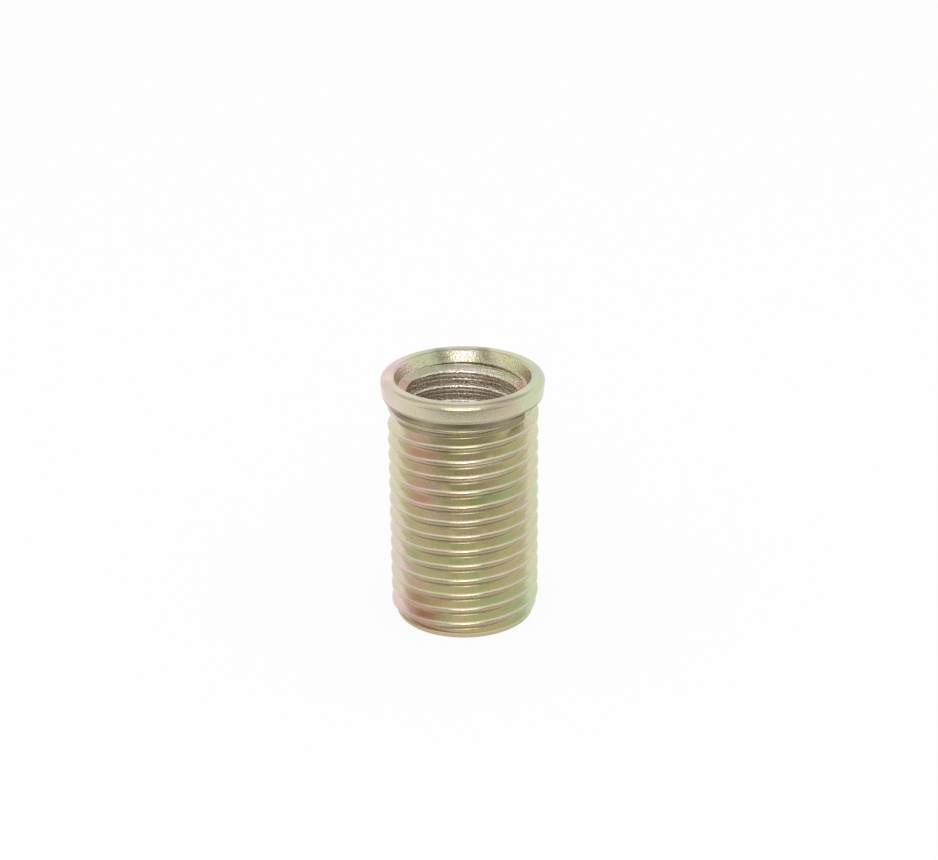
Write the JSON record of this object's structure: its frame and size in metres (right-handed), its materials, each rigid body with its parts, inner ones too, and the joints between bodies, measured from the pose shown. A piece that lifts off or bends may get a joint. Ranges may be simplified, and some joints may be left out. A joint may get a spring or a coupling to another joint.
{
  "type": "thread repair insert",
  "caption": "Flanged thread repair insert: a plated steel bush with a screw thread outside, a tapered mouth and a tapped bore for a bolt.",
  "frame": {"origin": "centre of the flat lower end, which the insert stands on", "axes": "+Z along the insert's axis, from the lower end to the flange; -Y is the side that faces the camera"},
  "size_m": [0.0152, 0.0152, 0.024],
  "materials": {
    "plated_steel": "satin"
  },
  "bodies": {
    "root": {"thread_insert": "plated_steel"}
  },
  "joints": []
}
